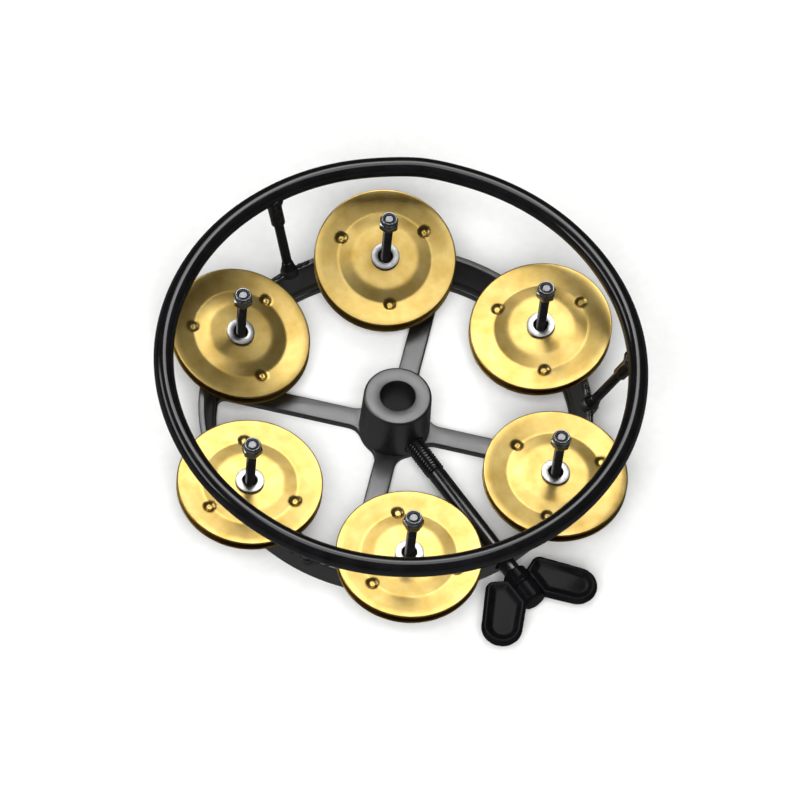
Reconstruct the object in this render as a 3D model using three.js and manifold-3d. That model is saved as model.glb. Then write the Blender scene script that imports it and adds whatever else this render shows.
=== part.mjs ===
// Hi-hat tambourine: a cast wheel that clamps on a vertical rod, six threaded
// posts that each carry a loose pair of jingles and a washer under a lock nut,
// and a guard ring held above the wheel on three struts. Millimetres, +Z up.
// The origin is on the axis of the rod bore, in the wheel's flat underside.
// The clamp bolt leaves the hub along -Y.
import * as THREE from 'three';
import { mergeVertices } from 'three/addons/utils/BufferGeometryUtils.js';
import Module from 'manifold-3d';

const wasm = await Module();
wasm.setup();

// ---- Driving dimensions, mm and degrees ------------------------------------
const fitGap = 0.3;             // between fixed pieces that fit each other
const thinGap = 0.1;            // between turned pieces on one axis

const hubRadius = 10.3;
const hubBaseRadius = 10.9;
const hubHeight = 19.4;
const hubEdge = 0.6;
const rodBoreRadius = 5.3;

const spokeCount = 4;
const spokeWidth = 6.4;
const spokeThickness = 2.4;
const spokeTurn = -1.4;         // the spokes lie this far off 45 degrees to the bolt
const hubFillet = 5;
const rimFillet = 2.2;

const rimRadius = 60;
const rimHeight = 12;
const lipWidth = 1.9;
const rimBaseWidth = 4.1;
const rimDraft = 1.7;           // the outer wall leans in by this much at its foot
const rimEdge = 0.5;
const ledgeHeight = 3.6;
const ledgeWidth = 0.7;

const postCount = 6;
const postCircle = rimRadius - 6.9;
const bossRadius = 4.2;
const bossBottom = 4.2;
const bossTop = 10.4;
const bossRib = 6;

const screwRadius = 1.5;
const screwTop = 36.3;
const headRadius = 2.8;
const headHeight = 2;
const headChamfer = 0.5;
const socketWidth = 2.5;
const socketDepth = 1.2;

const nutFlats = 5.5;
const nutHexHeight = 2.4;
const nutHeight = 4;
const nutTop = 36.6;
const collarRadius = 2.65;
const insertRadius = 2.1;

const jingleRadius = 21.9;
const jingleHoleRadius = 2.75;
const jingleThickness = 0.5;
const jingleFlat = 9.2;         // radius of the flat middle
const jingleCrease = 14.5;      // radius of the groove pressed in the sheet
const creaseDepth = 0.8;
const jinglePitch = 2.9;        // between the two sheets of a pair

const washerRadius = 4.35;
const washerHoleRadius = 2.25;
const washerThickness = 0.8;

const ringRadius = rimRadius + 11;
const ringRodRadius = 3;
const ringHeight = 38.4;

const strutCount = 3;
const strutRadius = 1.5;
const strutFootRadius = rimRadius - 0.7;
const lugRadius = 2.6;
const lugLength = 3;
const lugRoot = 1.6;
const strutSocketRadius = 2.1;
const strutSocketLength = 8;
const spigotRadius = 1.05;
const spigotLength = 2.5;

const boltHeight = 5.7;
const boltThreadRadius = 3;
const boltShankRadius = 2.7;
const boltTip = 4.3;            // distance of the bolt's tip from the rod bore's axis
const threadEnd = 22.5;
const threadChamfer = 0.6;
const collarStart = rimRadius + 3.6;
const boltCollarRadius = 3.8;
const boltCollarLength = 4.2;
const wingBossRadius = 3.7;
const wingBossEnd = collarStart + 11.6;
const wingBossWall = 2;         // left solid at the end of the handle's bore
const wingRootRadius = 1.9;
const wingThickness = 3;
const wingDish = 0.6;
const wingRimWidth = 1.1;
const wingRootInset = 2;        // a wing starts this far from the bolt's axis
const wingTip = { across: 13.6, beyond: 13.6, radius: 6.2 };
const wingShoulder = { across: 8.3, beyond: 1.7, radius: 2.6 };
const wingRootStart = 1.6;      // beyond the collar's start, as the two above
const wingRootEnd = 11;
const rimBoltHoleRadius = 3.5;

// How far each jingle pair leans towards the hub, by post, in degrees.
const postLean = [10, 18, 14, 1, 0, -2];

const coarse = 16;              // sides of a small round piece
const medium = 24;
const fine = 56;

// ---- Helpers ----------------------------------------------------------------
const radians = THREE.MathUtils.degToRad;

function signedArea(points) {
  return THREE.ShapeUtils.area(points.map(([x, y]) => new THREE.Vector2(x, y)));
}

// A solid of revolution about Z. The profile is a list of [radius, height].
function turned(profile, sides) {
  const closed = profile.some(([r]) => r > 0) && profile[0][0] > 0;
  const outward = signedArea(profile) > 0 ? profile : [...profile].reverse();
  const loop = closed ? [...outward, outward[0]] : outward;
  const geometry = new THREE.LatheGeometry(loop.map(([r, z]) => new THREE.Vector2(r, z)), sides);
  return geometry.rotateX(Math.PI / 2);
}

// A prism between two heights, from a list of [x, y] and lists for its holes.
function prism(outline, bottom, top, holes = []) {
  const shape = new THREE.Shape(outline.map(([x, y]) => new THREE.Vector2(x, y)));
  for (const hole of holes) {
    shape.holes.push(new THREE.Path(hole.map(([x, y]) => new THREE.Vector2(x, y))));
  }
  const geometry = new THREE.ExtrudeGeometry(shape, {
    depth: top - bottom, bevelEnabled: false, steps: 1,
  });
  return geometry.translate(0, 0, bottom);
}

// Points on an arc, from one angle to another, in degrees.
function arc(cx, cy, radius, from, to, steps) {
  return Array.from({ length: steps + 1 }, (_, i) => {
    const angle = radians(from + (to - from) * i / steps);
    return [cx + radius * Math.cos(angle), cy + radius * Math.sin(angle)];
  });
}

function circle(radius, sides, cx = 0, cy = 0) {
  return arc(cx, cy, radius, 0, 360, sides).slice(0, sides);
}

// A closed geometry as a solid that can be joined and cut.
function solid(geometry) {
  const bare = geometry.clone();
  bare.deleteAttribute('normal');
  bare.deleteAttribute('uv');
  const merged = mergeVertices(bare, 1e-4);
  const index = merged.index.array;
  const triangles = [];
  for (let i = 0; i < index.length; i += 3) {
    const [a, b, c] = [index[i], index[i + 1], index[i + 2]];
    if (a !== b && b !== c && a !== c) triangles.push(a, b, c);
  }
  return new wasm.Manifold(new wasm.Mesh({
    numProp: 3,
    vertProperties: new Float32Array(merged.attributes.position.array),
    triVerts: new Uint32Array(triangles),
  }));
}

function geometryOf(manifold) {
  const mesh = manifold.getMesh();
  const geometry = new THREE.BufferGeometry();
  geometry.setAttribute('position', new THREE.BufferAttribute(mesh.vertProperties, 3));
  geometry.setIndex(new THREE.BufferAttribute(mesh.triVerts, 1));
  geometry.computeVertexNormals();
  return geometry;
}

// A geometry made along Z, laid along a line that starts at a point.
function along(geometry, start, direction) {
  const turn = new THREE.Quaternion().setFromUnitVectors(new THREE.Vector3(0, 0, 1), direction);
  return geometry.applyQuaternion(turn).translate(start.x, start.y, start.z);
}

function polar(radius, degrees, height) {
  return new THREE.Vector3(
    radius * Math.cos(radians(degrees)), radius * Math.sin(radians(degrees)), height);
}

// ---- Materials --------------------------------------------------------------
function finish(color, roughness, metalness) {
  return new THREE.MeshStandardMaterial({ color, roughness, metalness });
}

const blackCoat = finish('#101012', 0.25, 0.0);
const brass = finish('#d9b84a', 0.3, 1.0);
const zinc = finish('#c9ccd0', 0.3, 1.0);
const nickel = finish('#e4e4e8', 0.25, 1.0);
const blackOxide = finish('#1c1c1e', 0.45, 1.0);
const nylon = finish('#3a3d42', 0.5, 0.0);
const blackCast = finish('#0c0c0d', 0.2, 0.0);

const tambourine = new THREE.Group();

function add(name, geometry, material, parent = tambourine) {
  const mesh = new THREE.Mesh(geometry, material);
  mesh.name = name;
  parent.add(mesh);
  return mesh;
}

// ---- Places that several pieces share ---------------------------------------
const postAngles = Array.from({ length: postCount }, (_, i) => i * 360 / postCount);
const strutAngles = Array.from({ length: strutCount }, (_, i) => 90 + i * 360 / strutCount);
const boltDirection = new THREE.Vector3(0, -1, 0);
const boltAxisPoint = new THREE.Vector3(0, 0, boltHeight);

// A strut's axis runs from its foot on the rim's lip to the ring rod's centre.
function strutLine(degrees) {
  const foot = polar(strutFootRadius, degrees, rimHeight);
  const head = polar(ringRadius, degrees, ringHeight);
  const length = foot.distanceTo(head);
  return { foot, length, direction: head.sub(foot).normalize() };
}

// ---- Wheel: hub, spokes, rim, screw bosses and strut lugs, one casting -------
// One window between two spokes, in the frame where the first spoke lies on X.
function window() {
  const half = spokeWidth / 2;
  const outer = rimRadius - rimDraft - rimBaseWidth;
  const rimX = Math.sqrt((outer - rimFillet) ** 2 - (half + rimFillet) ** 2);
  const hubX = Math.sqrt((hubBaseRadius + hubFillet) ** 2 - (half + hubFillet) ** 2);
  const rimTurn = THREE.MathUtils.radToDeg(Math.atan2(half + rimFillet, rimX));
  const hubTurn = THREE.MathUtils.radToDeg(Math.atan2(half + hubFillet, hubX));
  return [
    ...arc(rimX, half + rimFillet, rimFillet, -90, rimTurn, 3),
    ...arc(0, 0, outer, rimTurn, 90 - rimTurn, 16).slice(1, -1),
    ...arc(half + rimFillet, rimX, rimFillet, 90 - rimTurn, 180, 3),
    ...arc(half + hubFillet, hubX, hubFillet, 180, 270 - hubTurn, 4),
    ...arc(0, 0, hubBaseRadius, 90 - hubTurn, hubTurn, 3).slice(1, -1),
    ...arc(hubX, half + hubFillet, hubFillet, 180 + hubTurn, 270, 4),
  ];
}

function turnedBy(points, degrees) {
  const [c, s] = [Math.cos(radians(degrees)), Math.sin(radians(degrees))];
  return points.map(([x, y]) => [x * c - y * s, x * s + y * c]);
}

function wheel() {
  const windows = Array.from({ length: spokeCount }, (_, i) =>
    turnedBy(window(), 45 + spokeTurn + i * 360 / spokeCount).reverse());
  const rimFoot = rimRadius - rimDraft;
  const webRadius = rimFoot - rimBaseWidth / 2;
  let body = solid(prism(circle(webRadius, fine), 0, spokeThickness, windows));

  const lipInner = rimRadius - lipWidth;
  const rim = turned([
    [rimFoot - rimBaseWidth, 0],
    [rimFoot, 0],
    [rimRadius, rimHeight - rimEdge],
    [rimRadius - rimEdge, rimHeight],
    [lipInner, rimHeight],
    [lipInner - rimEdge, rimHeight - rimEdge],
    [rimFoot - rimBaseWidth + 2 * ledgeWidth, ledgeHeight + ledgeWidth],
    [rimFoot - rimBaseWidth + ledgeWidth, ledgeHeight],
  ], fine);
  body = body.add(solid(rim));

  const hub = turned([
    [0, 0], [hubBaseRadius, 0], [hubRadius, hubHeight - hubEdge],
    [hubRadius - hubEdge, hubHeight], [0, hubHeight],
  ], 36);
  body = body.add(solid(hub));

  for (const degrees of postAngles) {
    const boss = prism(circle(bossRadius, coarse, postCircle), bossBottom, bossTop);
    const rib = prism([
      [postCircle, -bossRib / 2], [lipInner, -bossRib / 2],
      [lipInner, bossRib / 2], [postCircle, bossRib / 2],
    ], bossBottom, bossTop);
    const turn = radians(degrees);
    body = body.add(solid(boss.rotateZ(turn))).add(solid(rib.rotateZ(turn)));
  }
  for (const degrees of strutAngles) {
    const { foot, direction } = strutLine(degrees);
    const lug = turned([[0, -lugRoot], [lugRadius, -lugRoot], [lugRadius, lugLength], [0, lugLength]], 12);
    body = body.add(solid(along(lug, foot, direction)));
  }

  const bore = prism(circle(rodBoreRadius, 36), -1, hubHeight + 1);
  body = body.subtract(solid(bore));
  for (const degrees of postAngles) {
    const turn = radians(degrees);
    const hole = prism(circle(screwRadius + fitGap, coarse, postCircle), -1, rimHeight + 1);
    const pocket = prism(circle(headRadius + fitGap, coarse, postCircle), -1, bossBottom);
    body = body.subtract(solid(hole.rotateZ(turn))).subtract(solid(pocket.rotateZ(turn)));
  }
  for (const degrees of strutAngles) {
    const { foot, direction } = strutLine(degrees);
    const hole = prism(circle(strutRadius + fitGap, 12), 0, lugLength + 1);
    body = body.subtract(solid(along(hole, foot, direction)));
  }
  const threadHole = prism(circle(boltThreadRadius + fitGap, coarse), 0, hubBaseRadius + hubFillet);
  body = body.subtract(solid(along(threadHole, boltAxisPoint, boltDirection)));
  const rimHole = prism(circle(rimBoltHoleRadius, coarse),
    rimFoot - 2 * rimBaseWidth, rimRadius + 1);
  body = body.subtract(solid(along(rimHole, boltAxisPoint, boltDirection)));
  return geometryOf(body);
}

add('wheel_casting', wheel(), blackCoat);

// ---- Guard ring and its struts ----------------------------------------------
add('guard_ring', turned(circle(ringRodRadius, 12, ringRadius, ringHeight), fine), blackCoat);

strutAngles.forEach((degrees, i) => {
  const { foot, length, direction } = strutLine(degrees);
  const shoulder = length - ringRodRadius - strutSocketLength - fitGap;
  const rod = turned([
    [0, fitGap], [strutRadius, fitGap], [strutRadius, shoulder],
    [spigotRadius, shoulder], [spigotRadius, shoulder + spigotLength], [0, shoulder + spigotLength],
  ], 12);
  add(`strut_${i + 1}`, along(rod, foot, direction), blackCoat);

  const base = shoulder + fitGap;
  const cutter = turned(circle(ringRodRadius + fitGap, 12, ringRadius, ringHeight), fine);
  const socket = turned([
    [0, base + spigotLength + fitGap], [spigotRadius + fitGap, base + spigotLength + fitGap],
    [spigotRadius + fitGap, base], [strutSocketRadius, base],
    [strutSocketRadius, length - ringRodRadius / 2], [0, length - ringRodRadius / 2],
  ], 12);
  const cut = solid(along(socket, foot, direction)).subtract(solid(cutter));
  add(`strut_socket_${i + 1}`, geometryOf(cut), blackCoat);
});

// ---- Jingle posts -----------------------------------------------------------
// A pressed disc. side is 1 where the groove points down, -1 where it points up.
function jingle(side) {
  const groove = -side * creaseDepth;
  const half = jingleThickness / 2;
  const line = [[jingleHoleRadius, 0], [jingleFlat, 0], [jingleCrease, groove], [jingleRadius, 0]];
  const upper = line.map(([r, z]) => [r, z + half]);
  const lower = line.map(([r, z]) => [r, z - half]).reverse();
  return turned([...lower, ...upper], medium);
}

function ringDisc(inner, outer, bottom, top, sides) {
  return turned([[inner, bottom], [outer, bottom], [outer, top], [inner, top]], sides);
}

function screw() {
  const headTop = bossBottom - fitGap;
  const body = solid(turned([
    [0, headTop - headHeight], [headRadius - headChamfer, headTop - headHeight],
    [headRadius, headTop - headHeight + headChamfer], [headRadius, headTop],
    [screwRadius, headTop], [screwRadius, screwTop], [0, screwTop],
  ], coarse));
  const drive = prism(circle(socketWidth / Math.sqrt(3), 6),
    headTop - headHeight - 1, headTop - headHeight + socketDepth);
  return geometryOf(body.subtract(solid(drive)));
}

function lockNut() {
  const bottom = nutTop - nutHeight;
  const hex = solid(prism(circle(nutFlats / Math.sqrt(3), 6), bottom, bottom + nutHexHeight));
  const collar = solid(turned([
    [0, bottom + nutHexHeight / 2], [collarRadius, bottom + nutHexHeight / 2],
    [collarRadius, nutTop], [0, nutTop],
  ], coarse));
  const thread = solid(turned([
    [0, bottom - 1], [screwRadius + thinGap, bottom - 1],
    [screwRadius + thinGap, nutTop + 1], [0, nutTop + 1],
  ], coarse));
  const recess = solid(turned([
    [0, bottom + nutHexHeight], [insertRadius + thinGap, bottom + nutHexHeight],
    [insertRadius + thinGap, nutTop + 1], [0, nutTop + 1],
  ], coarse));
  return geometryOf(hex.add(collar).subtract(thread).subtract(recess));
}

function insert() {
  return ringDisc(screwRadius + thinGap, insertRadius,
    nutTop - nutHeight + nutHexHeight + thinGap, nutTop - fitGap, coarse);
}

// Height of the lower jingle's underside on the post's axis. It clears the boss and
// the rim's lip, whichever way it leans. The lip comes nearest to a jingle that leans
// inwards where the lip's circle crosses the jingle's edge.
function seatHeight(lean) {
  const slope = Math.tan(radians(lean));
  const lipInner = rimRadius - lipWidth;
  const lipNear = (lipInner ** 2 - postCircle ** 2 - jingleRadius ** 2) / (2 * postCircle);
  const lipFar = rimRadius - postCircle;
  const overLip = rimHeight + Math.max(-lipNear * slope, -lipFar * slope);
  const overBoss = bossTop + bossRadius * Math.abs(slope);
  return thinGap + Math.max(overLip, overBoss);
}

postAngles.forEach((degrees, i) => {
  const lean = postLean[i];
  const cosine = Math.cos(radians(lean));
  const post = new THREE.Group();
  post.position.copy(polar(postCircle, degrees, 0));
  post.rotation.z = radians(degrees);
  tambourine.add(post);
  add(`post_screw_${i + 1}`, screw(), blackOxide, post);
  add(`lock_nut_${i + 1}`, lockNut(), zinc, post);
  add(`nut_insert_${i + 1}`, insert(), nylon, post);

  // Each loose disc is centred on the post and leans about it.
  const place = (mesh, height) => {
    mesh.position.z = height;
    mesh.rotation.y = -radians(lean);
  };
  const lowerHeight = seatHeight(lean) + jingleThickness / 2 / cosine;
  const upperHeight = lowerHeight + jinglePitch / cosine;
  const washerHeight = upperHeight + (jingleThickness / 2 + thinGap + washerThickness / 2) / cosine;
  place(add(`lower_jingle_${i + 1}`, jingle(-1), brass, post), lowerHeight);
  place(add(`upper_jingle_${i + 1}`, jingle(1), brass, post), upperHeight);
  const half = washerThickness / 2;
  const washer = ringDisc(washerHoleRadius, washerRadius, -half, half, 20);
  place(add(`washer_${i + 1}`, washer, nickel, post), washerHeight);
});

// ---- Clamp bolt: threaded shaft and the wing handle moulded on its end -------
const handleBoreEnd = wingBossEnd - wingBossWall;

function boltShaft() {
  return turned([
    [0, boltTip], [boltThreadRadius - threadChamfer, boltTip],
    [boltThreadRadius, boltTip + threadChamfer], [boltThreadRadius, threadEnd],
    [boltShankRadius, threadEnd + threadChamfer], [boltShankRadius, collarStart - fitGap],
    [wingRootRadius, collarStart - fitGap], [wingRootRadius, handleBoreEnd - fitGap],
    [0, handleBoreEnd - fitGap],
  ], 20);
}

// One wing, drawn beside the bolt's axis: across the bolt first, then along it.
function wingOutline(inset) {
  const backEdge = 141;         // directions where the round tip and shoulder meet
  const frontEdge = -35;
  const rootEdge = -112;
  const round = (part, from, to, steps) =>
    arc(part.across, collarStart + part.beyond, part.radius - inset, from, to, steps);
  return [
    [wingRootInset + inset, collarStart + wingRootEnd - inset],
    ...round(wingTip, backEdge, frontEdge, 9),
    ...round(wingShoulder, frontEdge, rootEdge, 4),
    [wingRootInset + inset, collarStart + wingRootStart + inset],
  ];
}

function wingHandle() {
  const collarEnd = collarStart + boltCollarLength;
  let body = solid(along(turned([
    [0, collarStart], [boltCollarRadius, collarStart], [boltCollarRadius, collarEnd],
    [wingBossRadius, collarEnd], [wingBossRadius, wingBossEnd - rimEdge],
    [wingBossRadius - rimEdge, wingBossEnd], [0, wingBossEnd],
  ], 20), boltAxisPoint, boltDirection));
  const half = wingThickness / 2;
  for (const side of [1, -1]) {
    const place = (outline) => outline.map(([across, out]) => [side * across, -out]);
    const blade = prism(place(wingOutline(0)), boltHeight - half, boltHeight + half);
    body = body.add(solid(blade));
    const dish = place(wingOutline(wingRimWidth).filter(([across]) => across > wingBossRadius));
    for (const [low, high] of [[half - wingDish, half + 1], [-half - 1, wingDish - half]]) {
      body = body.subtract(solid(prism(dish, boltHeight + low, boltHeight + high)));
    }
  }
  const bore = turned([
    [0, collarStart - 1], [wingRootRadius + fitGap, collarStart - 1],
    [wingRootRadius + fitGap, handleBoreEnd], [0, handleBoreEnd],
  ], 20);
  return geometryOf(body.subtract(solid(along(bore, boltAxisPoint, boltDirection))));
}

add('bolt_shaft', along(boltShaft(), boltAxisPoint, boltDirection), blackOxide);
add('wing_handle', wingHandle(), blackCast);

export default tambourine;
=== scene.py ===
import math

import bmesh
import bpy
import numpy as np
from mathutils import Matrix, Vector, noise


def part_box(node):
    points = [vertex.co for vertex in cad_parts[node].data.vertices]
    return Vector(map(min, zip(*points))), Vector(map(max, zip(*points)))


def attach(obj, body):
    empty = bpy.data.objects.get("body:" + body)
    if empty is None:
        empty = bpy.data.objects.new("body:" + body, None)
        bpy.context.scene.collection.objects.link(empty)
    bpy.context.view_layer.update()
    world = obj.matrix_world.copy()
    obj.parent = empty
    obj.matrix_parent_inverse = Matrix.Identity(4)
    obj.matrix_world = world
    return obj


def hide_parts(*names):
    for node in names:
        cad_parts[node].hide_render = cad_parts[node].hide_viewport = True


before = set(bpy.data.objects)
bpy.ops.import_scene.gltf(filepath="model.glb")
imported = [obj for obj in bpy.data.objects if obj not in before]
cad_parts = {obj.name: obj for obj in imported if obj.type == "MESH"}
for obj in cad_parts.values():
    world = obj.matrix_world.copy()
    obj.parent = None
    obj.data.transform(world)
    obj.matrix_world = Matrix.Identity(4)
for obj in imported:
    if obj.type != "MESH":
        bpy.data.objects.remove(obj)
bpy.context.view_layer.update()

MM = 0.001

POSTS = range(1, 7)
STRUTS = range(1, 4)
POST_CIRCLE = 53.1


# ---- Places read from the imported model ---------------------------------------
def cad_points(name):
    """A CAD node's vertices in millimetres, one row each."""
    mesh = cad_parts[name].data
    flat = np.empty(len(mesh.vertices) * 3)
    mesh.vertices.foreach_get("co", flat)
    return np.unique(flat.reshape(-1, 3).round(7), axis=0) / MM


def disc_place(name):
    """Where a turned disc lies: its Z along the disc's axis, its X outwards from the hub."""
    points = cad_points(name)
    centre = points.mean(axis=0)
    axis = Vector(np.linalg.svd(points - centre)[2][2])
    if axis.z < 0:
        axis.negate()
    outward = Vector((centre[0], centre[1], 0))
    side = axis.cross(outward).normalized()
    outward = side.cross(axis).normalized()
    heights = (points - centre) @ np.array(axis)
    turn = Matrix((outward, side, axis)).transposed().to_4x4()
    return Matrix.Translation(centre) @ turn, heights.min(), heights.max()


def post_place(i):
    angle = math.radians(60 * (i - 1))
    return Matrix.Rotation(angle, 4, "Z") @ Matrix.Translation((POST_CIRCLE, 0, 0))


def strut_place(i):
    """Z up along a strut from its foot on the rim, and how long the strut is to its shoulder."""
    low, high = (np.array(corner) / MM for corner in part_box(f"strut_{i}"))
    angle = math.radians(90 + 120 * (i - 1))
    turn = Matrix.Rotation(angle, 4, "Z")
    foot = Vector((STRUT_FOOT, 0, RIM_HEIGHT))
    head = Vector((RING_RADIUS, 0, RING_HEIGHT))
    lean = Vector((0, 0, 1)).rotation_difference(head - foot).to_matrix().to_4x4()
    return turn @ Matrix.Translation(foot) @ lean, (head - foot).length


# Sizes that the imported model's boxes give, in millimetres.
RIM_HEIGHT = 12.0
RIM_RADIUS = 60.0
RIM_FOOT = 58.3
LIP_WIDTH = 1.9
FOOT_WIDTH = 4.1
STRUT_FOOT = 59.3
RING_ROD = 3.0
RING_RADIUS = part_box("guard_ring")[1][0] / MM - RING_ROD
RING_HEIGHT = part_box("guard_ring")[1][2] / MM - RING_ROD
HUB_HEIGHT = 19.4
HUB_RADIUS = 10.3
HUB_BASE = 10.9
ROD_BORE = 5.3
SPOKE_WIDTH = 6.4
SPOKE_THICKNESS = 2.4
SPOKE_TURN = -1.4
BOLT_HEIGHT = 5.7
BOLT_START = -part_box("bolt_shaft")[1][1] / MM
COLLAR_START = -max(y for x, y, z in cad_points("wing_handle") if abs(x) < 4)
HANDLE_END = -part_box("wing_handle")[0][1] / MM


# ---- Mesh helpers --------------------------------------------------------------
def radians_of(*degrees):
    return [math.radians(value) for value in degrees]


def arc(cx, cy, radius, start, end, steps):
    """Points on an arc between two directions in degrees."""
    angles = np.radians(np.linspace(start, end, steps + 1))
    return [(cx + radius * math.cos(a), cy + radius * math.sin(a)) for a in angles]


def turned(profile, steps, closed=False):
    """A solid of revolution about Z from a list of (radius, height)."""
    bm = bmesh.new()
    verts = [bm.verts.new((r, 0, z)) for r, z in profile]
    ends = zip(verts, verts[1:] + verts[:1]) if closed else zip(verts, verts[1:])
    edges = [bm.edges.new(pair) for pair in ends]
    bmesh.ops.spin(bm, geom=verts + edges, cent=(0, 0, 0), axis=(0, 0, 1),
                   angle=2 * math.pi, steps=steps, use_merge=True)
    bmesh.ops.remove_doubles(bm, verts=bm.verts, dist=1e-4)
    bmesh.ops.recalc_face_normals(bm, faces=bm.faces)
    return bm


def prism(outline, bottom, top):
    """A prism along Z from a list of (x, y)."""
    bm = bmesh.new()
    base = bm.faces.new([bm.verts.new((x, y, bottom)) for x, y in outline])
    grown = bmesh.ops.extrude_face_region(bm, geom=[base])
    lifted = [v for v in grown["geom"] if isinstance(v, bmesh.types.BMVert)]
    bmesh.ops.translate(bm, vec=(0, 0, top - bottom), verts=lifted)
    bmesh.ops.recalc_face_normals(bm, faces=bm.faces)
    return bm


def drum(radius, bottom, top, sides):
    """A plain round or many-sided block, used to join or to cut."""
    bm = bmesh.new()
    bmesh.ops.create_cone(bm, cap_ends=True, segments=sides, radius1=radius, radius2=radius,
                          depth=top - bottom,
                          matrix=Matrix.Translation((0, 0, (top + bottom) / 2)))
    return bm


def moved(bm, matrix):
    bmesh.ops.transform(bm, matrix=matrix, verts=bm.verts)
    if matrix.determinant() < 0:
        bmesh.ops.reverse_faces(bm, faces=bm.faces)
    return bm


def copied(bm, matrix):
    return moved(bm.copy(), matrix)


def soften(bm, width, segments=3, sharper=28, where=None):
    """Rounds every edge that turns by more than an angle."""
    limit = math.radians(sharper)
    edges = [e for e in bm.edges if len(e.link_faces) == 2 and e.calc_face_angle(0) > limit
             and (where is None or where((e.verts[0].co + e.verts[1].co) / 2))]
    bmesh.ops.bevel(bm, geom=edges, offset=width, offset_type="OFFSET", segments=segments,
                    profile=0.5, affect="EDGES", material=-1, clamp_overlap=True)
    return bm


def scratch(bm):
    mesh = bpy.data.meshes.new("scratch")
    bm.to_mesh(mesh)
    obj = bpy.data.objects.new("scratch", mesh)
    bpy.context.scene.collection.objects.link(obj)
    return obj


def evaluated(obj):
    """The mesh that an object's modifiers leave, as a bmesh."""
    bpy.context.view_layer.update()
    bm = bmesh.new()
    bm.from_object(obj, bpy.context.evaluated_depsgraph_get())
    return bm


def discard(*objects):
    for obj in objects:
        mesh = obj.data
        bpy.data.objects.remove(obj)
        bpy.data.meshes.remove(mesh)


def combined(base, tool, operation):
    """One closed shape joined with, or cut by, another."""
    target, cutter = scratch(base), scratch(tool)
    modifier = target.modifiers.new("combine", "BOOLEAN")
    modifier.operation = operation
    modifier.solver = "EXACT"
    modifier.object = cutter
    result = evaluated(target)
    discard(target, cutter)
    bmesh.ops.remove_doubles(result, verts=result.verts, dist=1e-3)
    bmesh.ops.dissolve_degenerate(result, dist=1e-4, edges=result.edges)
    return result


def fused(bm, voxel, smoothing):
    """Overlapping lumps melted into one skin."""
    lump = scratch(bm)
    remesh = lump.modifiers.new("fuse", "REMESH")
    remesh.mode = "VOXEL"
    remesh.voxel_size = voxel
    remesh.use_smooth_shade = True
    relax = lump.modifiers.new("relax", "SMOOTH")
    relax.iterations = smoothing
    result = evaluated(lump)
    discard(lump)
    return result


def merged(parts):
    """Several meshes gathered in one bmesh."""
    whole = bmesh.new()
    for part in parts:
        mesh = bpy.data.meshes.new("part")
        part.to_mesh(mesh)
        whole.from_mesh(mesh)
        bpy.data.meshes.remove(mesh)
    return whole


def piece(name, bm, material, body, nodes=(), crease=35, cut_face=None):
    """Finishes a bmesh in millimetres as an object that rides on a CAD body. cut_face is
    a second material and the height above which faces take it."""
    if cut_face:
        for face in bm.faces:
            face.material_index = int(face.calc_center_median().z > cut_face[1])
    bmesh.ops.scale(bm, vec=(MM, MM, MM), verts=bm.verts)
    mesh = bpy.data.meshes.new(name)
    bm.to_mesh(mesh)
    bm.free()
    mesh.materials.append(material)
    if cut_face:
        mesh.materials.append(cut_face[0])
    mesh.shade_smooth()
    mesh.set_sharp_from_angle(angle=math.radians(crease))
    obj = bpy.data.objects.new(name, mesh)
    bpy.context.scene.collection.objects.link(obj)
    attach(obj, body)
    if nodes:
        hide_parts(*nodes)
    return obj


# ---- Materials -----------------------------------------------------------------
def linear(hex_colour):
    """An sRGB hex colour as linear red, green, blue, alpha."""
    channels = [int(hex_colour[i:i + 2], 16) / 255 for i in (1, 3, 5)]
    return [c / 12.92 if c <= 0.04045 else ((c + 0.055) / 1.055) ** 2.4 for c in channels] + [1]


def add_node(tree, kind, settings=None, values=None, links=None):
    """Adds a node with its settings, its socket values and the sockets that feed it."""
    node = tree.nodes.new(kind)
    for key, value in (settings or {}).items():
        setattr(node, key, value)
    for key, value in (values or {}).items():
        node.inputs[key].default_value = value
    for key, source in (links or {}).items():
        tree.links.new(source, node.inputs[key])
    return node


def new_material(name):
    material = bpy.data.materials.new(name)
    material.use_nodes = True
    tree = material.node_tree
    tree.nodes.clear()
    place = add_node(tree, "ShaderNodeTexCoord").outputs["Object"]
    return material, tree, place


def finish_material(tree, values, links):
    shader = add_node(tree, "ShaderNodeBsdfPrincipled", values=values, links=links)
    add_node(tree, "ShaderNodeOutputMaterial", links={"Surface": shader.outputs["BSDF"]})


def ramp(tree, source, stops):
    """A colour ramp from a list of (position, hex colour or grey number)."""
    node = add_node(tree, "ShaderNodeValToRGB", links={"Fac": source})
    elements = node.color_ramp.elements
    while len(elements) < len(stops):
        elements.new(0.5)
    for element, (position, value) in zip(elements, stops):
        element.position = position
        element.color = linear(value) if isinstance(value, str) else (value, value, value, 1)
    return node.outputs["Color"]


def per_metre(millimetres):
    """The scale that makes one noise cell this many millimetres wide."""
    return 1 / (millimetres * MM)


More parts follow.
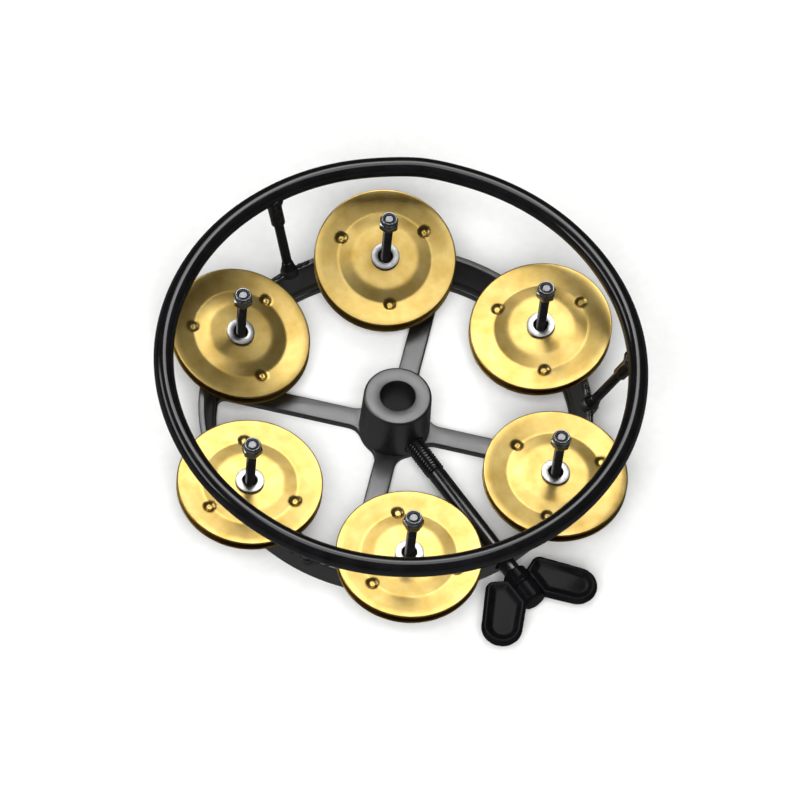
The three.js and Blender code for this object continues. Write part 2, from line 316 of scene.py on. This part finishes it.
def black_coat(name, roughness, grain_mm, grain_depth, ior):
    """Black paint baked on steel or a casting: a deep black skin. A large grain_depth is
    a sandy cast texture that spreads the light, a small one a wavering orange peel."""
    material, tree, place = new_material(name)
    grain = add_node(tree, "ShaderNodeTexNoise", values={
        "Scale": per_metre(grain_mm), "Detail": 3.0, "Roughness": 0.6}, links={"Vector": place})
    cloud = add_node(tree, "ShaderNodeTexNoise", values={
        "Scale": per_metre(6), "Detail": 4.0, "Roughness": 0.55}, links={"Vector": place})
    colour = ramp(tree, cloud.outputs["Fac"], [(0.3, "#070708"), (0.7, "#101012")])
    gloss = ramp(tree, cloud.outputs["Fac"], [(0.25, roughness - 0.03), (0.75, roughness + 0.04)])
    bump = add_node(tree, "ShaderNodeBump", values={"Strength": 1.0, "Distance": grain_depth * MM},
                    links={"Height": grain.outputs["Fac"]})
    finish_material(tree, {"IOR": ior},
                    {"Base Color": colour, "Roughness": gloss, "Normal": bump.outputs["Normal"]})
    return material


def pressed_brass():
    """Brass sheet, turned while it is polished: a satin of fine concentric lines that
    draws highlights out along the radius, with slightly uneven tone."""
    material, tree, place = new_material("pressed_brass")
    radius = add_node(tree, "ShaderNodeUVMap", {"uv_map": "turning"}).outputs["UV"]
    rings = add_node(tree, "ShaderNodeMapping", values={"Scale": (1, 0, 0)}, links={"Vector": radius})
    lines = add_node(tree, "ShaderNodeTexNoise", values={
        "Scale": per_metre(0.35), "Detail": 3.0, "Roughness": 0.7},
        links={"Vector": rings.outputs["Vector"]})
    cloud = add_node(tree, "ShaderNodeTexNoise", values={
        "Scale": per_metre(5), "Detail": 3.0, "Roughness": 0.5}, links={"Vector": place})
    speck = add_node(tree, "ShaderNodeTexNoise", values={
        "Scale": per_metre(0.5), "Detail": 2.0, "Roughness": 0.7}, links={"Vector": place})
    mixed = add_node(tree, "ShaderNodeMath", {"operation": "MULTIPLY_ADD"}, {1: 0.35}, {
        0: lines.outputs["Fac"], 2: cloud.outputs["Fac"]})
    colour = ramp(tree, mixed.outputs["Value"], [(0.35, BRASS_DARK), (1.0, BRASS_LIGHT)])
    gloss = ramp(tree, lines.outputs["Fac"], [(0.3, 0.27), (0.7, 0.33)])
    height = add_node(tree, "ShaderNodeMath", {"operation": "MULTIPLY_ADD"}, {1: 0.5}, {
        0: speck.outputs["Fac"], 2: lines.outputs["Fac"]})
    bump = add_node(tree, "ShaderNodeBump", values={"Strength": 1.0, "Distance": 0.0024 * MM},
                    links={"Height": height.outputs["Value"]})
    tangent = add_node(tree, "ShaderNodeTangent", {"direction_type": "UV_MAP", "uv_map": "turning"})
    finish_material(tree, {"Metallic": 1.0, "Anisotropic": 0.45},
                    {"Base Color": colour, "Roughness": gloss, "Normal": bump.outputs["Normal"],
                     "Tangent": tangent.outputs["Tangent"]})
    return material


def plated(name, dark, light, roughness, grain_mm):
    """Bright plate on steel: zinc or nickel over turned marks, a little clouded."""
    material, tree, place = new_material(name)
    grain = add_node(tree, "ShaderNodeTexNoise", values={
        "Scale": per_metre(grain_mm), "Detail": 3.0, "Roughness": 0.6}, links={"Vector": place})
    colour = ramp(tree, grain.outputs["Fac"], [(0.3, dark), (0.7, light)])
    gloss = ramp(tree, grain.outputs["Fac"], [(0.3, roughness + 0.08), (0.7, roughness)])
    bump = add_node(tree, "ShaderNodeBump", values={"Strength": 0.3, "Distance": 0.02 * MM},
                    links={"Height": grain.outputs["Fac"]})
    finish_material(tree, {"Metallic": 1.0}, {
        "Base Color": colour, "Roughness": gloss, "Normal": bump.outputs["Normal"]})
    return material


def moulded_nylon():
    """Dark grey nylon, moulded: soft sheen with a slight cloudiness."""
    material, tree, place = new_material("moulded_nylon")
    cloud = add_node(tree, "ShaderNodeTexNoise", values={
        "Scale": per_metre(0.8), "Detail": 2.0}, links={"Vector": place})
    colour = ramp(tree, cloud.outputs["Fac"], [(0.3, "#2b2e31"), (0.7, "#3d4145")])
    finish_material(tree, {"IOR": 1.53, "Roughness": 0.45}, {"Base Color": colour})
    return material


BRASS_DARK = "#cfa852"
BRASS_LIGHT = "#f1d588"
ring_coat = black_coat("black_powder_coat_gloss", 0.13, 1.6, 0.004, 1.7)
cast_coat = black_coat("black_powder_coat_on_casting", 0.36, 0.4, 0.055, 2.75)
wing_coat = black_coat("black_lacquer_on_die_casting", 0.22, 0.9, 0.006, 1.2)
bolt_coat = black_coat("black_plate_on_steel", 0.22, 0.5, 0.004, 2.0)
brass = pressed_brass()
zinc = plated("bright_zinc_plate", "#a9adb0", "#dfe2e4", 0.2, 0.6)
nickel = plated("nickel_plate", "#cfcfd0", "#ececec", 0.28, 1.0)
bare_steel = plated("bare_cut_steel", "#8c8d90", "#b5b6b8", 0.35, 0.3)
black_oxide = plated("black_oxide_steel", "#18181a", "#2f2f32", 0.3, 0.4)
nylon = moulded_nylon()


# ---- Wheel: rim, spokes, hub, screw bosses and strut lugs ------------------------
def window_outline():
    """One gap between two spokes, with the first spoke along X, and its round corners."""
    half = SPOKE_WIDTH / 2
    rim_fillet, hub_fillet = 2.2, 5.0
    outer = RIM_FOOT - FOOT_WIDTH
    rim_x = math.sqrt((outer - rim_fillet) ** 2 - (half + rim_fillet) ** 2)
    hub_x = math.sqrt((HUB_BASE + hub_fillet) ** 2 - (half + hub_fillet) ** 2)
    rim_turn = math.degrees(math.atan2(half + rim_fillet, rim_x))
    hub_turn = math.degrees(math.atan2(half + hub_fillet, hub_x))
    return (arc(rim_x, half + rim_fillet, rim_fillet, -90, rim_turn, 6)
            + arc(0, 0, outer, rim_turn, 90 - rim_turn, 40)[1:-1]
            + arc(half + rim_fillet, rim_x, rim_fillet, 90 - rim_turn, 180, 6)
            + arc(half + hub_fillet, hub_x, hub_fillet, 180, 270 - hub_turn, 8)
            + arc(0, 0, HUB_BASE, 90 - hub_turn, hub_turn, 4)[1:-1]
            + arc(hub_x, half + hub_fillet, hub_fillet, 180 + hub_turn, 270, 8))


def wheel():
    spin_steps = 192
    lip_inner = RIM_RADIUS - LIP_WIDTH
    foot_inner = RIM_FOOT - FOOT_WIDTH
    web = drum(RIM_FOOT - FOOT_WIDTH / 2, 0, SPOKE_THICKNESS, spin_steps)
    for i in range(4):
        turn = Matrix.Rotation(math.radians(45 + SPOKE_TURN + 90 * i), 4, "Z")
        web = combined(web, moved(prism(window_outline(), -1, SPOKE_THICKNESS + 1), turn),
                       "DIFFERENCE")
    soften(web, 0.4)
    hub = turned([
        (ROD_BORE, 0), (HUB_BASE, 0), (HUB_RADIUS, HUB_HEIGHT), (ROD_BORE, HUB_HEIGHT),
    ], 128, closed=True)
    soften(hub, 0.75, 4, where=lambda spot: math.hypot(spot.x, spot.y) > 8)
    soften(hub, 0.35, 2, 50, where=lambda spot: math.hypot(spot.x, spot.y) < 8)
    rim = turned([
        (foot_inner, 0), (RIM_FOOT, 0), (RIM_RADIUS, RIM_HEIGHT), (lip_inner, RIM_HEIGHT),
        (lip_inner - 0.5, RIM_HEIGHT - 0.7), (foot_inner + 1.4, 4.3), (foot_inner + 0.7, 3.6),
    ], spin_steps, closed=True)
    soften(rim, 0.35, 3, 20)
    web = combined(web, drum(ROD_BORE + 1, -1, SPOKE_THICKNESS + 1, 64), "DIFFERENCE")
    body = combined(combined(web, hub, "UNION"), rim, "UNION")

    boss_bottom, boss_top = 4.2, 10.4
    for i in POSTS:
        boss = drum(4.2, boss_bottom, boss_top, 48)
        rib = prism([(0, -3), (5, -3), (5, 3), (0, 3)], boss_bottom, boss_top)
        body = combined(body, moved(combined(boss, rib, "UNION"), post_place(i)), "UNION")
    for i in STRUTS:
        lug = turned([(0, -1.6), (2.9, -1.6), (2.7, 0.4), (2.0, 1.4), (1.75, 3), (0, 3)], 32)
        body = combined(body, moved(lug, strut_place(i)[0]), "UNION")

    across = Matrix.Translation((0, 0, BOLT_HEIGHT)) @ Matrix.Rotation(math.radians(90), 4, "X")
    body = combined(body, moved(drum(3.3, 0, 16, 48), across), "DIFFERENCE")
    body = combined(body, moved(drum(3.5, 50, 61, 48), across), "DIFFERENCE")
    for i in POSTS:
        hole = combined(drum(1.8, -1, 13, 32), drum(3.1, -1, boss_bottom, 32), "UNION")
        body = combined(body, moved(hole, post_place(i)), "DIFFERENCE")
    for i in STRUTS:
        socket = moved(drum(1.6, 0.3, 5, 32), strut_place(i)[0])
        body = combined(body, socket, "DIFFERENCE")
    return body


# ---- Guard ring, struts and weld beads ---------------------------------------------
def guard_ring():
    """A bent rod closed by a weld: round, with a slight rise where its ends meet."""
    steps = 288
    bm = turned(arc(RING_RADIUS, RING_HEIGHT, RING_ROD, 0, 360, 32)[:-1], steps, closed=True)
    for vert in bm.verts:
        angle = math.degrees(math.atan2(vert.co.y, vert.co.x))
        seam = math.exp(-((angle - RING_SEAM) / 7) ** 2)
        wave = noise.noise(Vector((math.cos(math.radians(angle)) * 2, math.sin(math.radians(angle)) * 2, 3)))
        outward = Vector((vert.co.x, vert.co.y, 0)).normalized()
        vert.co += outward * (0.25 * seam + 0.22 * wave) + Vector((0, 0, 0.35 * seam - 0.2 * wave - 0.3))
    return bm


RING_SEAM = 51


def strut(i):
    place, length = strut_place(i)
    shoulder = length - RING_ROD - 8.3
    rod = turned([(0, 0.35), (1.5, 0.35), (1.5, shoulder - 0.1), (1.4, shoulder),
                  (1.05, shoulder), (1.05, shoulder + 2.5), (0, shoulder + 2.5)], 32)
    return moved(rod, place)


def strut_socket(i):
    """The sleeve that joins a strut to the ring, with a lumpy weld at its top."""
    place, length = strut_place(i)
    base = length - RING_ROD - 8
    top = length - RING_ROD
    sleeve = turned([(0, base + 2.8), (1.36, base + 2.8), (1.36, base + 0.1), (1.6, base - 0.1),
                     (2.0, base), (2.15, base + 0.3), (2.2, base + 3.5), (2.2, base + 5.5),
                     (2.45, base + 6.8), (3.0, top), (3.3, top + 0.8), (2.4, top + 1.8),
                     (0, top + 1.8)], 40)
    for vert in sleeve.verts:
        lump = noise.noise(vert.co * 0.55 + Vector((i * 7, 0, 0)))
        reach = max(0, min(1, (vert.co.z - base) / 6))
        vert.co += Vector((vert.co.x, vert.co.y, 0)).normalized() * lump * 0.22 * reach
    return moved(sleeve, place)


def weld_bead(i):
    """A run of small lumps along the lip on both sides of a strut's foot."""
    angle = 90 + 120 * (i - 1)
    lumps = []
    for k in range(-9, 10):
        along = angle + k * 0.72
        rise = noise.noise(Vector((k * 0.7, i * 3, 0)))
        size = 0.85 + 0.3 * rise - 0.02 * abs(k)
        reach = RIM_RADIUS - 0.95 + 0.3 * noise.noise(Vector((k * 0.9, i * 5, 4)))
        lump = bmesh.new()
        bmesh.ops.create_icosphere(lump, subdivisions=2, radius=size)
        spot = Vector((reach * math.cos(math.radians(along)), reach * math.sin(math.radians(along)),
                       RIM_HEIGHT - 0.2 + 0.25 * rise))
        lumps.append(moved(lump, Matrix.Translation(spot)))
    foot = strut_place(i)[0]
    collar = turned([(0, -1), (2.6, -1), (2.5, 0.6), (1.95, 2.2), (1.7, 3.4), (0, 3.4)], 24)
    lumps.append(moved(collar, foot))
    return fused(merged(lumps), 0.22, 3)


# ---- Jingles, washers, nuts and screws -----------------------------------------------
JINGLE_RADIUS = 21.9
JINGLE_HOLE = 2.75
JINGLE_FLAT = 9.2
JINGLE_CREASE = 14.5
CREASE_DEPTH = 0.8
SHEET = 0.5
DIMPLE_TURN = {1: -1, 2: 63, 3: 25, 4: 3, 5: 69, 6: 46}


def sheet_height(radius, side):
    """Height of the sheet's middle: flat, down into the pressed groove, and up again."""
    if radius <= JINGLE_CREASE:
        slope = (radius - JINGLE_FLAT) / (JINGLE_CREASE - JINGLE_FLAT)
    else:
        slope = (JINGLE_RADIUS - radius) / (JINGLE_RADIUS - JINGLE_CREASE)
    slope = max(0, min(1, slope))
    shoulder = 0.3
    if slope < shoulder:
        slope = slope * slope / (2 * shoulder)
    else:
        slope = slope - shoulder / 2
    return -side * CREASE_DEPTH * slope


def jingle(side, dimple_turn):
    """A pressed disc with three round dimples in its groove."""
    half = SHEET / 2
    inner = [JINGLE_HOLE + 0.15] + list(np.linspace(JINGLE_HOLE + 0.6, JINGLE_FLAT - 1, 6))
    outer = list(np.linspace(JINGLE_FLAT - 0.5, JINGLE_RADIUS - 0.5, 30)) + [JINGLE_RADIUS - 0.16]
    radii = inner + outer
    line = [(r, sheet_height(r, side)) for r in radii]
    upper = [(r, z + half) for r, z in line]
    lower = [(r, z - half) for r, z in reversed(line)]
    rim = [(JINGLE_RADIUS, half * 0.5), (JINGLE_RADIUS, -half * 0.5)]
    hole = [(JINGLE_HOLE, -half * 0.5), (JINGLE_HOLE, half * 0.5)]
    bm = turned(upper + rim + lower + hole, 200, closed=True)
    for k in range(3):
        angle = math.radians(dimple_turn + 120 * k)
        spot = Vector((DIMPLE_RADIUS * math.cos(angle), DIMPLE_RADIUS * math.sin(angle), 0))
        for vert in bm.verts:
            reach = (Vector((vert.co.x, vert.co.y, 0)) - spot).length / DIMPLE_SIZE
            if reach < 1:
                pit = min(1, (1 - reach) / 0.45) - 0.55 * max(0, 1 - reach / 0.33)
                vert.co.z -= side * DIMPLE_DEPTH * pit
    return bm


DIMPLE_RADIUS = 14.9
DIMPLE_SIZE = 1.8
DIMPLE_DEPTH = 0.6


def add_turning_map(obj, place):
    """A map whose first axis is the distance from the disc's axis, in metres."""
    mesh = obj.data
    layer = mesh.uv_layers.new(name="turning")
    back = place.inverted()
    for loop in mesh.loops:
        local = back @ (mesh.vertices[loop.vertex_index].co / MM)
        radius = math.hypot(local.x, local.y)
        layer.data[loop.index].uv = (radius * MM, math.atan2(local.y, local.x) * 0.01)


def washer():
    bm = turned([(2.25, -0.4), (4.35, -0.4), (4.35, 0.4), (2.25, 0.4)], 64, closed=True)
    return soften(bm, 0.16)


def threaded(crest, root, pitch, length, sides):
    """A thread along Z from 0 to its length, cut flat at both ends."""
    bm = bmesh.new()
    profile = [(root, 0), (crest, 0.38), (crest, 0.52), (root, 0.9), (root, 1)]
    verts = [bm.verts.new((r, 0, (z - 1) * pitch)) for r, z in profile]
    edges = [bm.edges.new(pair) for pair in zip(verts, verts[1:])]
    turns = math.ceil(length / pitch) + 2
    bmesh.ops.spin(bm, geom=verts + edges, cent=(0, 0, 0), axis=(0, 0, 1),
                   dvec=(0, 0, pitch / sides), angle=2 * math.pi * turns, steps=sides * turns)
    bmesh.ops.remove_doubles(bm, verts=bm.verts, dist=2e-3)
    for height, clear in ((0, {"clear_inner": True}), (length, {"clear_outer": True})):
        bmesh.ops.bisect_plane(bm, geom=bm.verts[:] + bm.edges[:] + bm.faces[:],
                               plane_co=(0, 0, height), plane_no=(0, 0, 1), **clear)
        rim = [e for e in bm.edges if e.is_boundary
               and all(abs(v.co.z - height) < 1e-4 for v in e.verts)]
        bmesh.ops.contextual_create(bm, geom=rim)
    bmesh.ops.recalc_face_normals(bm, faces=bm.faces)
    return bm


def screw():
    head_bottom, head_top, end = 1.9, 3.9, 36.3
    shank = moved(threaded(1.5, 1.22, 0.5, end - head_top + 1, 20),
                  Matrix.Translation((0, 0, head_top - 1)))
    head = turned([(0, head_bottom), (2.8, head_bottom), (2.8, head_top), (0, head_top)], 48)
    soften(head, 0.3)
    head = combined(head, drum(2.5 / math.sqrt(3), head_bottom - 1, head_bottom + 1.2, 6),
                    "DIFFERENCE")
    tip = turned([(0, end - 2), (1.9, end - 2), (1.9, end - 0.65), (1.1, end), (0, end)], 32)
    middle = turned([(0, 0), (4, 0), (4, end - 1), (0, end - 1)], 16)
    shank = combined(shank, combined(tip, middle, "UNION"), "INTERSECT")
    return combined(head, shank, "UNION")


def lock_nut():
    top, bottom, hex_top = 36.6, 32.6, 35.0
    corner = 5.5 / math.sqrt(3)
    block = drum(corner, bottom, hex_top, 6)
    chamfer = turned([(0, bottom), (2.6, bottom), (3.35, bottom + 0.42), (3.35, hex_top - 0.42),
                      (2.6, hex_top), (0, hex_top)], 96)
    block = combined(block, chamfer, "INTERSECT")
    collar = turned([(0, bottom + 1), (2.62, bottom + 1), (2.62, top - 0.7), (2.5, top - 0.3),
                     (2.25, top), (2.1, top - 0.05), (0, top - 0.05)], 96)
    block = combined(block, collar, "UNION")
    bore = turned([(0, bottom - 1), (1.6, bottom - 1), (1.6, hex_top), (2.12, hex_top),
                   (2.0, top + 1), (0, top + 1)], 64)
    return soften(combined(block, bore, "DIFFERENCE"), 0.09, 2)


def nut_insert():
    bm = turned([(1.6, 35.1), (2.0, 35.1), (2.0, 36.3), (1.6, 36.3)], 64, closed=True)
    return soften(bm, 0.12)


# ---- Clamp bolt and its wing handle -----------------------------------------------------
def bolt_shaft():
    thread_end = 22.5
    thread = moved(threaded(3.0, 2.5, 1.0, thread_end - BOLT_START, 40),
                   Matrix.Translation((0, 0, BOLT_START)))
    tip = turned([(0, BOLT_START), (2.3, BOLT_START), (3.3, BOLT_START + 0.8),
                  (3.3, thread_end - 0.9), (2.45, thread_end), (0, thread_end)], 48)
    thread = combined(thread, tip, "INTERSECT")
    shank = turned([(0, thread_end - 0.5), (2.35, thread_end - 0.5), (2.7, thread_end + 0.4),
                    (2.7, COLLAR_START - 0.3), (1.9, COLLAR_START - 0.3),
                    (1.9, HANDLE_END_BORE), (0, HANDLE_END_BORE)], 64)
    return combined(thread, shank, "UNION")


HANDLE_END_BORE = 72.9


def wing_outline():
    """One wing beside the bolt's axis, from root to tip and back."""
    return ([(2.8, 74.6)] + arc(13.6, 77.2, 6.2, 141, -35, 30)
            + arc(8.3, 65.3, 2.6, -35, -112, 12) + [(2.8, 65.2)])


def wing_blade():
    """A wing with a round border and a wide shallow dish on both faces. Its outline is
    cut into a fine grid, and each point's height follows its distance from the edge."""
    outline = wing_outline()
    bm = bmesh.new()
    bm.faces.new([bm.verts.new((x, y, 0)) for x, y in outline])
    low, high = np.min(outline, axis=0), np.max(outline, axis=0)
    for axis in (0, 1):
        normal = Vector((1 - axis, axis, 0))
        for step in np.arange(low[axis] + 0.25, high[axis], 0.5):
            bmesh.ops.bisect_plane(bm, geom=bm.verts[:] + bm.edges[:] + bm.faces[:],
                                   plane_co=normal * step, plane_no=normal)
    starts = np.array(outline)
    spans = np.roll(starts, -1, axis=0) - starts
    for side in (1, -1):
        if side < 0:
            twin = bmesh.ops.duplicate(bm, geom=bm.verts[:] + bm.edges[:] + bm.faces[:])
            points = [v for v in twin["geom"] if isinstance(v, bmesh.types.BMVert)]
        else:
            points = bm.verts[:]
        for vert in points:
            offsets = np.array(vert.co.xy) - starts
            share = np.clip((offsets * spans).sum(1) / (spans ** 2).sum(1), 0, 1)
            edge = np.hypot(*(offsets - spans * share[:, None]).T).min()
            round_edge = math.sqrt(max(0, 1 - max(0, 1 - edge / WING_EDGE) ** 2))
            dish = min(1, max(0, (edge - WING_BORDER) / WING_SLOPE))
            dish = dish * dish * (3 - 2 * dish)
            vert.co.z = side * (WING_HALF * round_edge - WING_DISH * dish)
    bmesh.ops.remove_doubles(bm, verts=bm.verts, dist=2e-3)
    bmesh.ops.recalc_face_normals(bm, faces=bm.faces)
    return bm


WING_HALF = 1.5
WING_EDGE = 1.1
WING_BORDER = 0.6
WING_SLOPE = 3.0
WING_DISH = 0.6


def wing_handle():
    """The wings stand out flat on both sides of the bolt's end, cast with its boss and
    collar. The bolt's end sits in a blind bore."""
    collar_end = COLLAR_START + 4.2
    boss_end, bore_end, bore = 75.2, 73.2, 2.2
    body = turned([(0, bore_end), (bore, bore_end), (bore, COLLAR_START), (3.5, COLLAR_START),
                   (3.8, COLLAR_START + 0.35), (3.8, collar_end - 0.9), (3.2, collar_end),
                   (3.2, collar_end + 0.7), (3.7, collar_end + 1.3), (3.7, boss_end - 0.4),
                   (3.3, boss_end), (0, boss_end)], 96)
    parts = [body]
    for side in (1, -1):
        blade = moved(wing_blade(), Matrix(((side, 0, 0, 0), (0, 0, 1, 0), (0, 1, 0, 0), (0, 0, 0, 1))))
        bmesh.ops.recalc_face_normals(blade, faces=blade.faces)
        parts.append(blade)
    return fused(merged(parts), 0.17, 4)


# ---- Building ---------------------------------------------------------------------------
OUT_ALONG_BOLT = Matrix.Translation((0, 0, BOLT_HEIGHT)) @ Matrix.Rotation(math.radians(90), 4, "X")

piece("wheel", wheel(), cast_coat, "frame", ["wheel_casting"])
piece("ring", guard_ring(), ring_coat, "frame", ["guard_ring"])
for i in STRUTS:
    piece(f"strut_rod_{i}", strut(i), ring_coat, "frame", [f"strut_{i}"])
    piece(f"strut_sleeve_{i}", strut_socket(i), ring_coat, "frame", [f"strut_socket_{i}"], 60)
    piece(f"weld_bead_{i}", weld_bead(i), ring_coat, "frame", (), 180)

screw_shape, nut_shape, insert_shape = screw(), lock_nut(), nut_insert()
for i in POSTS:
    place = post_place(i)
    turn = Matrix.Rotation(math.radians(11 * i), 4, "Z")
    piece(f"screw_{i}", copied(screw_shape, place @ turn), bolt_coat, "frame",
          [f"post_screw_{i}"], cut_face=(bare_steel, 35.7))
    piece(f"nut_{i}", copied(nut_shape, place @ turn), zinc, "frame", [f"lock_nut_{i}"])
    piece(f"insert_{i}", copied(insert_shape, place @ turn), nylon, "frame",
          [f"nut_insert_{i}"])
    for level, side, extra in (("upper", 1, 0), ("lower", -1, 40)):
        node = f"{level}_jingle_{i}"
        centre, low, high = disc_place(node)
        middle = high - SHEET / 2 if side > 0 else low + SHEET / 2
        place_disc = centre @ Matrix.Translation((0, 0, middle))
        disc = piece(f"{level}_disc_{i}", moved(jingle(side, DIMPLE_TURN[i] + extra), place_disc),
                     brass, node, [node], 60)
        add_turning_map(disc, place_disc)
    centre, low, high = disc_place(f"washer_{i}")
    piece(f"plain_washer_{i}", moved(washer(), centre), nickel, f"washer_{i}",
          [f"washer_{i}"])

piece("clamp_bolt", moved(bolt_shaft(), OUT_ALONG_BOLT), bolt_coat, "bolt_shaft",
      ["bolt_shaft"])
piece("wings", moved(wing_handle(), OUT_ALONG_BOLT), wing_coat, "wing_handle",
      ["wing_handle"], 180)


# ---- Floor, light and camera --------------------------------------------------------------
def pale_floor():
    """Matt off-white studio paper with a faint tooth."""
    material, tree, place = new_material("studio_paper")
    tooth = add_node(tree, "ShaderNodeTexNoise", values={"Scale": per_metre(3), "Detail": 3.0},
                     links={"Vector": place})
    colour = ramp(tree, tooth.outputs["Fac"], [(0.3, "#f2f2f1"), (0.7, "#f6f6f5")])
    finish_material(tree, {"Roughness": 0.9, "IOR": 1.3}, {"Base Color": colour})
    bm = bmesh.new()
    bmesh.ops.create_grid(bm, x_segments=1, y_segments=1, size=3)
    bmesh.ops.translate(bm, vec=(0, 0, -0.0001), verts=bm.verts)
    mesh = bpy.data.meshes.new("floor")
    bm.to_mesh(mesh)
    mesh.materials.append(material)
    floor = bpy.data.objects.new("floor", mesh)
    bpy.context.scene.collection.objects.link(floor)
    floor.visible_glossy = False


def soft_light(name, azimuth, elevation, distance, width, height, radiance, glossy=True):
    """A soft box that faces the object from a direction given in degrees."""
    data = bpy.data.lights.new(name, "AREA")
    data.shape = "RECTANGLE"
    data.size, data.size_y = width, height
    data.energy = radiance * math.pi * width * height
    light = bpy.data.objects.new(name, data)
    a, e = radians_of(azimuth, elevation)
    spot = Vector((math.cos(e) * math.cos(a), math.cos(e) * math.sin(a), math.sin(e))) * distance
    light.location = spot + Vector((0, 0, 0.02))
    light.rotation_euler = (-spot).to_track_quat("-Z", "Y").to_euler()
    light.visible_glossy = glossy
    bpy.context.scene.collection.objects.link(light)
    return light


def set_camera():
    """The lens sees the object from high up in front of the lower-left post."""
    camera = bpy.data.objects.new("camera", bpy.data.cameras.new("camera"))
    camera.data.sensor_width = 36
    camera.data.lens = 226.08
    camera.data.clip_start, camera.data.clip_end = 0.05, 20
    elevation, roll, azimuth = radians_of(57.306, 6.708, 39.6)
    row_turn = Matrix.Rotation(-azimuth, 3, "Z")
    right = Vector((1, 0, 0))
    up = Vector((0, math.sin(elevation), math.cos(elevation)))
    ahead = Vector((0, math.cos(elevation), -math.sin(elevation)))
    level_right = right * math.cos(roll) + up * math.sin(roll)
    level_up = up * math.cos(roll) - right * math.sin(roll)
    stand = -(level_right * 0.55 + level_up * 11.5 + ahead * 1500)
    axes = Matrix((row_turn @ level_right, row_turn @ level_up, row_turn @ -ahead)).transposed()
    spot = (row_turn @ stand + Vector((0, 0, 38.4))) * MM
    camera.matrix_world = Matrix.Translation(spot) @ axes.to_4x4()
    bpy.context.scene.collection.objects.link(camera)
    bpy.context.scene.camera = camera


pale_floor()
set_camera()
BACK = 50.4
soft_light("overhead_softbox", BACK, 76, 1.0, 0.56, 0.66, 1.62)
soft_light("back_key", BACK + 5, 57, 0.95, 0.42, 0.3, 2.4)
soft_light("side_strip", BACK + 90, 32, 0.9, 0.7, 0.25, 2.2)
soft_light("floor_fill", BACK + 180, 50, 1.6, 1.4, 1.4, 6.8, glossy=False)


def studio_air():
    """What polished surfaces see past the lamps: a dark room over a dim pale floor."""
    world = bpy.data.worlds.new("studio")
    bpy.context.scene.world = world
    world.use_nodes = True
    tree = world.node_tree
    tree.nodes.clear()
    heading = add_node(tree, "ShaderNodeTexCoord").outputs["Generated"]
    height = add_node(tree, "ShaderNodeSeparateXYZ", links={"Vector": heading}).outputs["Z"]
    share = add_node(tree, "ShaderNodeMapRange", values={"From Min": -1.0, "From Max": 1.0},
                     links={"Value": height}).outputs["Result"]
    tone = ramp(tree, share, [(0.0, 0.12), (0.46, 0.10), (0.54, 0.02), (1.0, 0.05)])
    light = add_node(tree, "ShaderNodeBackground", values={"Strength": 1.0}, links={"Color": tone})
    add_node(tree, "ShaderNodeOutputWorld", links={"Surface": light.outputs["Background"]})


studio_air()
bpy.context.scene.view_settings.view_transform = "Standard"
